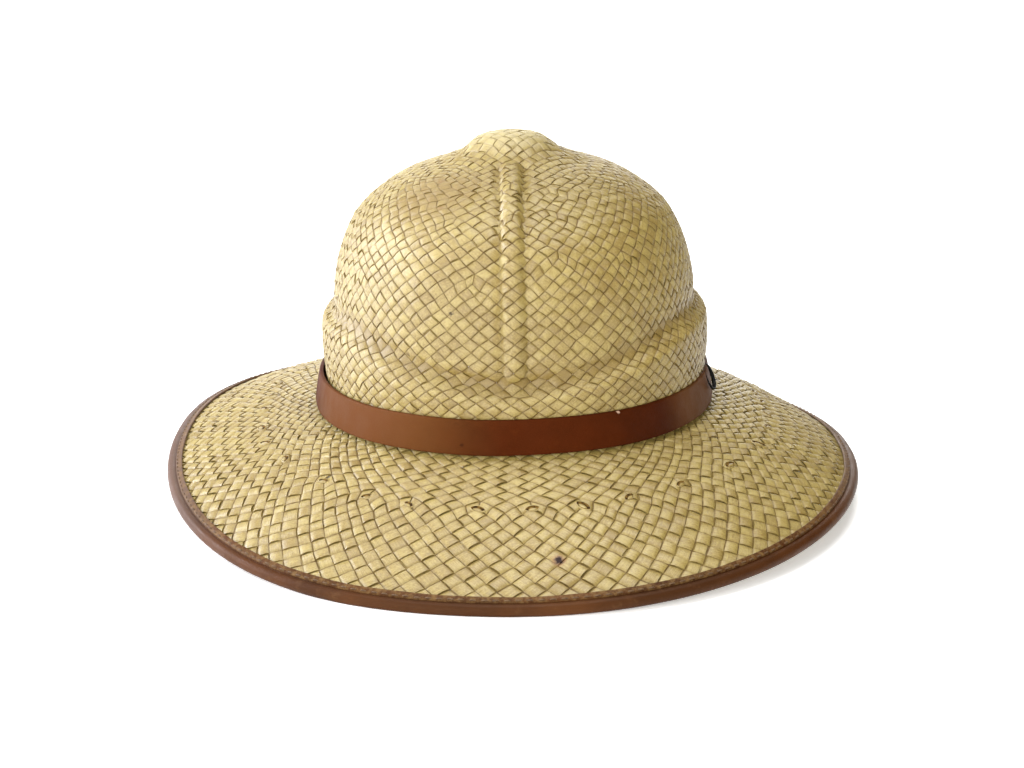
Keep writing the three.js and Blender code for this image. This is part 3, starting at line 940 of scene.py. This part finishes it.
# dark, light, scuff
BAND_COLOURS = ((54, 17, 2), (68, 24, 4), (80, 37, 11))
BINDING_COLOURS = ((58, 31, 12), (76, 43, 19), (100, 70, 44))
BAND_TINT = (1.0, 0.62, 0.3, 1.0)
BINDING_TINT = (1.0, 0.8, 0.6, 1.0)
DUST = (132, 104, 64)
FLANGE_DUST = 0.55
THREAD_COLOURS = ((76, 52, 28), (100, 74, 44))
RING_COLOURS = ((3, 3, 3), (8, 8, 8))
FLOOR_COLOURS = ((0.93, 0.93, 0.93, 1.0), (0.95, 0.95, 0.95, 1.0))
FLOOR_GLOW = 0.4
GRAIN_DEPTH = 0.0003
MARK_CORE = 0.4
MARK_RAGGED = 2.4
# x, y, z, radius in millimetres, strength, colour
STRAW_MARKS_AND_SHEEN = (
    (17.2, -156.6, 14.5, 3.6, 0.6, (124, 70, 30)), (17.2, -156.6, 14.5, 2.3, 1.0, (30, 5, 0)),
    (-24.5, -89.5, 93.2, 1.2, 0.9, (50, 34, 16)),
    (-29.6, -35.0, 136.2, 2.2, 0.5, (112, 58, 28)), (-29.3, -56.5, 129.5, 2.0, 0.5, (112, 58, 28)),
    (-31.1, -44.2, 132.5, 28.0, 0.5, (126, 100, 44)), (-42.1, -82.3, 74.6, 1.3, 0.7, (70, 44, 18)),
    # painted sheen: a pale patch on top of the button
    (-1.0, 2.4, 151.0, 26.0, 0.5, (192, 178, 132)),
)
BAND_MARKS_AND_SHEEN = (
    # painted sheen: the broad orange patch at the left front and the broad tan patch by the ring are
    # painted reflections; the two small spots are marks on the leather
    (-70.0, -80.0, 48.0, 75.0, 0.6, (104, 64, 30)), (-20.2, -102.6, 43.0, 1.0, 0.7, (40, 16, 5)),
    (41.8, -92.2, 53.5, 0.9, 0.8, (180, 150, 130)), (78.0, -42.0, 50.0, 42.0, 0.5, (104, 72, 40)),
)
BINDING_PAINTED_SHEEN = (
    # painted sheen: pale patches on the binding at the left and right sides, where it catches light at a
    # glancing angle
    (-150.0, 10.0, 10.0, 150.0, 0.75, (104, 84, 74)), (150.0, 10.0, 10.0, 120.0, 0.7, (100, 82, 70)),
)


class Nodes:
    """Short calls for a material's nodes."""

    def __init__(self, name):
        self.material = bpy.data.materials.new(name)
        self.material.use_nodes = True
        self.tree = self.material.node_tree
        self.shader = self.tree.nodes["Principled BSDF"]

    def add(self, kind, inputs=None, **settings):
        node = self.tree.nodes.new(kind)
        for key, value in settings.items():
            setattr(node, key, value)
        for key, value in (inputs or {}).items():
            self.feed(node.inputs[key], value)
        return node

    def feed(self, socket, value):
        if isinstance(value, bpy.types.NodeSocket):
            self.tree.links.new(value, socket)
        else:
            socket.default_value = value

    def math(self, operation, a, b=0.0, c=0.0):
        node = self.add("ShaderNodeMath", operation=operation)
        for socket, value in zip(node.inputs, (a, b, c)):
            self.feed(socket, value)
        return node.outputs[0]

    def ramp(self, value, low, high, to_low=0.0, to_high=1.0):
        node = self.add("ShaderNodeMapRange", {"Value": value}, interpolation_type="SMOOTHSTEP")
        for key, number in (("From Min", low), ("From Max", high), ("To Min", to_low), ("To Max", to_high)):
            node.inputs[key].default_value = number
        return node.outputs["Result"]

    def mix(self, factor, a, b, blend="MIX"):
        node = self.add("ShaderNodeMix", data_type="RGBA", blend_type=blend)
        self.feed(node.inputs["Factor"], factor)
        colours = [s for s in node.inputs if s.type == "RGBA"]
        self.feed(colours[0], a)
        self.feed(colours[1], b)
        return [s for s in node.outputs if s.type == "RGBA"][0]

    def noise(self, vector, scale, detail=3.0, roughness=0.55):
        inputs = {"Vector": vector, "Scale": scale, "Detail": detail, "Roughness": roughness}
        return self.add("ShaderNodeTexNoise", inputs).outputs["Fac"]

    def value(self, name):
        return self.add("ShaderNodeAttribute", attribute_name=name).outputs["Fac"]

    def object_place(self):
        return self.add("ShaderNodeTexCoord").outputs["Object"]

    def marked(self, colour, marks_and_sheen):
        """The colour with the marks and painted sheen patches on it, and how much of it they cover."""
        place = self.object_place()
        most = 0.0
        wave = MARK_RAGGED * MM
        ragged = self.math("MULTIPLY_ADD", self.noise(place, 900.0, 3.0), wave, -wave / 2)
        for x, y, z, radius, strength, tint in marks_and_sheen:
            centre = (x * MM, y * MM, z * MM)
            away = self.add("ShaderNodeVectorMath", {0: place, 1: centre}, operation="DISTANCE")
            away = self.math("ADD", away.outputs["Value"], ragged)
            cover = self.ramp(away, radius * MM * MARK_CORE, radius * MM, strength, 0.0)
            colour = self.mix(cover, colour, linear(*tint))
            most = self.math("MAXIMUM", most, cover)
        return colour, most

    def vector(self, x, y, z):
        return self.add("ShaderNodeCombineXYZ", {"X": x, "Y": y, "Z": z}).outputs[0]

    def bump(self, height, strength, distance):
        node = self.add("ShaderNodeBump", {"Height": height, "Strength": strength, "Distance": distance})
        self.feed(self.shader.inputs["Normal"], node.outputs[0])

    def finish(self, colour, roughness, **constants):
        self.feed(self.shader.inputs["Base Color"], colour)
        self.feed(self.shader.inputs["Roughness"], roughness)
        for key, value in constants.items():
            self.shader.inputs[key.replace("_", " ")].default_value = value
        return self.material


def linear(red, green, blue):
    """A colour given as the 0 to 255 values seen on a screen."""
    screen = np.array([red, green, blue]) / 255
    value = np.where(screen <= 0.04045, screen / 12.92, ((screen + 0.055) / 1.055) ** 2.4)
    return (*value.tolist(), 1.0)


def straw_material(name, rim_shade, tip_shade):
    n = Nodes(name)
    strip = n.add("ShaderNodeUVMap", uv_map="strip").outputs[0]
    parts = n.add("ShaderNodeSeparateXYZ", {"Vector": strip})
    across, along = parts.outputs["X"], parts.outputs["Y"]
    seed, tone = n.value("seed"), n.value("tone")
    place = n.object_place()
    shift = n.math("MULTIPLY", seed, 91.0)
    fibre_at = n.vector(n.math("MULTIPLY_ADD", across, 9.0, shift), n.math("MULTIPLY", along, 0.7), shift)
    fibre = n.noise(fibre_at, 1.6, 4.0, 0.65)
    fine = n.noise(n.vector(n.math("MULTIPLY_ADD", across, 30.0, shift), along, shift), 1.0, 2.0)
    age = n.noise(place, 16.0, 4.0, 0.6)
    blotch = n.noise(place, 140.0, 3.0, 0.6)
    speck = n.noise(place, 1200.0, 3.0, 0.7)
    level = tone
    for noise, amount in ((fibre, 1.0), (fine, 0.5), (blotch, 0.45), (age, 0.35), (speck, 1.1)):
        level = n.math("MULTIPLY_ADD", n.math("SUBTRACT", noise, 0.5), amount, level)
    colour = n.mix(n.ramp(level, 0.15, 0.85), linear(*STRAW_DEEP), linear(*STRAW_PALE))
    rim = n.math("ABSOLUTE", n.math("MULTIPLY_ADD", across, 2.0, -1.0))
    tip = n.math("ABSOLUTE", n.math("MULTIPLY_ADD", along, 2.0, -1.0))
    # painted shade, partly dirt: dark lines along each strip's edges and across its ends, where it passes
    # under its neighbours
    rim_gap_shade = n.ramp(rim, 0.91, 1.0, 0.0, rim_shade)
    groove = n.math("MAXIMUM", rim_gap_shade, n.ramp(tip, 0.86, 0.98, 0.0, tip_shade))
    uneven = n.ramp(n.noise(place, 260.0, 2.0), 0.3, 0.7, 0.4, 1.15)
    groove = n.math("MINIMUM", n.math("MULTIPLY", groove, uneven), 1.0)
    # painted shade: each strip darker towards its edges and ends, standing for the shading of its curve
    shade = n.math("MAXIMUM", n.ramp(rim, 0.4, 1.0, 0.0, 0.2), n.ramp(tip, 0.4, 1.0, 0.0, 0.22))
    colour = n.mix(shade, colour, linear(*STRAW_EDGE_SHADE))
    colour = n.mix(groove, colour, linear(*STRAW_GAP_SHADE))
    colour, mark_and_sheen_cover = n.marked(colour, STRAW_MARKS_AND_SHEEN)
    n.bump(n.math("MULTIPLY_ADD", fine, 0.5, fibre), 0.5, GRAIN_DEPTH)
    rough = n.math("MULTIPLY_ADD", groove, 0.45, n.ramp(fibre, 0.3, 0.7, 0.38, 0.52))
    return n.finish(colour, n.math("MAXIMUM", rough, mark_and_sheen_cover), Specular_IOR_Level=0.75)


def slit_shade_material():
    n = Nodes("straw_slit_shade")
    grain = n.noise(n.object_place(), 700.0, 2.0)
    dark, light = (linear(*shade) for shade in SLIT_SHADE_COLOURS)
    colour = n.mix(n.ramp(grain, 0.35, 0.65), dark, light)
    return n.finish(colour, 0.9, Specular_IOR_Level=0.1)


def leather_material(name, colours, shine, rough, tint, marks_and_sheen, dust=0.0):
    n = Nodes(name)
    dark, light, scuff = (linear(*colour) for colour in colours)
    place = n.object_place()
    cloud = n.noise(place, 22.0, 4.0, 0.6)
    streak = n.noise(place, 120.0, 5.0, 0.65)
    cells = n.add("ShaderNodeTexVoronoi", {"Vector": place, "Scale": 1500.0}).outputs["Distance"]
    colour = n.mix(n.ramp(cloud, 0.35, 0.68), dark, light)
    colour = n.mix(n.ramp(streak, 0.56, 0.76, 0.0, 0.35), colour, scuff)
    height = n.math("MULTIPLY_ADD", streak, 0.8, n.math("MULTIPLY", cells, 0.5))
    n.bump(height, 0.4, GRAIN_DEPTH)
    colour, _ = n.marked(colour, marks_and_sheen)
    if dust:
        patchy = n.ramp(n.noise(place, 420.0, 4.0, 0.7), 0.35, 0.7, 0.0, dust)
        colour = n.mix(n.math("MULTIPLY", n.value("flange"), patchy), colour, linear(*DUST))
    rough = n.ramp(streak, 0.3, 0.75, rough, rough + 0.14)
    return n.finish(colour, rough, Specular_IOR_Level=shine, Specular_Tint=tint)


def thread_material():
    n = Nodes("thread")
    place = n.object_place()
    twist = n.noise(place, 900.0, 2.0)
    dark, light = (linear(*shade) for shade in THREAD_COLOURS)
    colour = n.mix(n.ramp(twist, 0.3, 0.7), dark, light)
    return n.finish(colour, 0.75)


def ring_material():
    n = Nodes("ring_black")
    place = n.object_place()
    wear = n.noise(place, 300.0, 4.0)
    dark, light = (linear(*shade) for shade in RING_COLOURS)
    colour = n.mix(n.ramp(wear, 0.45, 0.75), dark, light)
    return n.finish(colour, n.ramp(wear, 0.3, 0.7, 0.45, 0.6), Specular_IOR_Level=0.15)


def floor_material():
    n = Nodes("floor")
    place = n.object_place()
    grain = n.noise(place, 8.0, 2.0)
    colour = n.mix(grain, *FLOOR_COLOURS)
    n.shader.inputs["Emission Color"].default_value = (1.0, 1.0, 1.0, 1.0)
    return n.finish(colour, 0.6, Emission_Strength=FLOOR_GLOW)


# Pieces

def make_straw():
    rng = np.random.default_rng(SEED)
    points, runs, flip, label, centre, forks = plait_strips(rng)
    tones = np.clip(rng.normal(TONE_MIDDLE, TONE_BY_STRIP, len(label)), 0, 1)
    reach = np.hypot(centre[:, 0], centre[:, 1])
    on_crown = reach <= 1
    on_top = reach <= TOP_REACH
    fold, _ = fold_height(np.arctan2(centre[:, 0], centre[:, 1]))
    height = crown_column(CROWN_SECTIONS[:, 2], np.minimum(reach, 1))
    # painted shade: strips in the hollow above the fold get a darker tone
    shade = on_crown * FOLD_PAINTED_SHADE * bell((height - fold - FOLD_HOLLOW_AT) / FOLD_HOLLOW_HALF)
    front = centre[:, 1] >= 0
    looks = {
        "crown": straw_material("straw_crown", *CROWN_GAP_SHADE),
        "brim": straw_material("straw_brim", *BRIM_GAP_SHADE),
    }
    groups = (
        ("crown_plait_top", "crown", on_top),
        ("crown_plait_front", "crown", on_crown & front & ~on_top),
        ("crown_plait_back", "crown", on_crown & ~front & ~on_top),
        ("brim_plait_front", "brim", ~on_crown & front),
        ("brim_plait_back", "brim", ~on_crown & ~front),
    )
    for name, node, part in groups:
        tone = tones[label[part]] - shade[part]
        piece = strip_piece(name, points, runs[part], flip[part], label[part], tone, rng)
        piece.data.materials.append(looks[node])
        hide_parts(node)
    slits = fold_slits(forks, rng)
    slits.data.materials.append(looks["brim"])
    slits.data.materials.append(slit_shade_material())


def make_leather():
    rng = np.random.default_rng(SEED + 1)
    band_look = leather_material(
        "band_leather", BAND_COLOURS, shine=0.12, rough=0.6, tint=BAND_TINT, marks_and_sheen=BAND_MARKS_AND_SHEEN)
    binding_look = leather_material(
        "binding_leather", BINDING_COLOURS, shine=0.14, rough=0.46, tint=BINDING_TINT,
        marks_and_sheen=BINDING_PAINTED_SHEEN, dust=FLANGE_DUST)
    rows = (
        (hat_band(rng), band_look, "hat_band", "band_leather"),
        (brim_binding(rng), binding_look, "brim_binding", "binding_leather"),
        (stitches(rng), thread_material(), None, "binding_leather"),
        (side_ring(), ring_material(), "side_ring", "ring_black"),
    )
    for piece, material, node, slot in rows:
        piece.data.materials.append(material)
        if node:
            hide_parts(node)


# Stage

CAMERA_HIGH = np.radians(15.57)
CAMERA_FAR = 1.0
LOOK_AT = Vector((-0.0004, 0.0, 0.0395))
FOCAL_PIXELS = 2280.0
IMAGE_WIDTH = 1024.0
SENSOR_WIDTH = 36.0
FLOOR_SIZE = 12.0
WORLD_STRENGTH = 0.02
LIGHT_AIM = Vector((0.0, 0.0, 0.06))
WHITE = (1.0, 1.0, 1.0)
DAYLIGHT = (0.95, 1.0, 1.12)
WARM_LIGHT = (1.0, 0.95, 0.7)
# name, place, size in metres, power, colour
LIGHTS = (
    ("key_low", (-2.1, 0.2, 0.45), 0.6, 29.0, DAYLIGHT),
    ("key_back", (-1.7, 0.9, 0.9), 0.6, 36.0, DAYLIGHT),
    ("top", (0.0, 0.3, 2.4), 1.6, 58.0, WHITE),
    ("front", (-0.8, -2.4, 1.2), 2.2, 62.0, WHITE),
    ("front_left", (-1.7, -1.7, 1.4), 2.4, 28.0, WHITE),
    ("fill", (1.5, -1.7, 1.0), 1.4, 14.0, WARM_LIGHT),
    ("back_low", (0.0, 2.8, 0.5), 2.0, 38.0, WHITE),
)


def make_camera():
    data = bpy.data.cameras.new("camera")
    data.sensor_width = SENSOR_WIDTH
    data.lens = FOCAL_PIXELS * SENSOR_WIDTH / IMAGE_WIDTH
    camera = bpy.data.objects.new("camera", data)
    camera.location = LOOK_AT + CAMERA_FAR * Vector((0, -np.cos(CAMERA_HIGH), np.sin(CAMERA_HIGH)))
    camera.rotation_euler = (LOOK_AT - camera.location).to_track_quat("-Z", "Y").to_euler()
    bpy.context.scene.collection.objects.link(camera)
    bpy.context.scene.camera = camera


def area_light(name, location, size, power, colour):
    data = bpy.data.lights.new(name, "AREA")
    data.shape = "DISK"
    data.size = size
    data.energy = power
    data.color = colour
    light = bpy.data.objects.new(name, data)
    light.location = location
    light.rotation_euler = (LIGHT_AIM - light.location).to_track_quat("-Z", "Y").to_euler()
    bpy.context.scene.collection.objects.link(light)


def make_stage():
    bpy.ops.mesh.primitive_plane_add(size=FLOOR_SIZE, location=(0, 0, 0))
    floor = bpy.context.object
    floor.name = "floor"
    floor.data.materials.append(floor_material())
    world = bpy.data.worlds.new("studio")
    world.use_nodes = True
    background = world.node_tree.nodes["Background"]
    background.inputs["Color"].default_value = (*WHITE, 1.0)
    background.inputs["Strength"].default_value = WORLD_STRENGTH
    bpy.context.scene.world = world
    for row in LIGHTS:
        area_light(*row)
    bpy.context.scene.view_settings.view_transform = "Standard"
    bpy.context.scene.view_settings.look = "None"


make_camera()
make_straw()
make_leather()
make_stage()
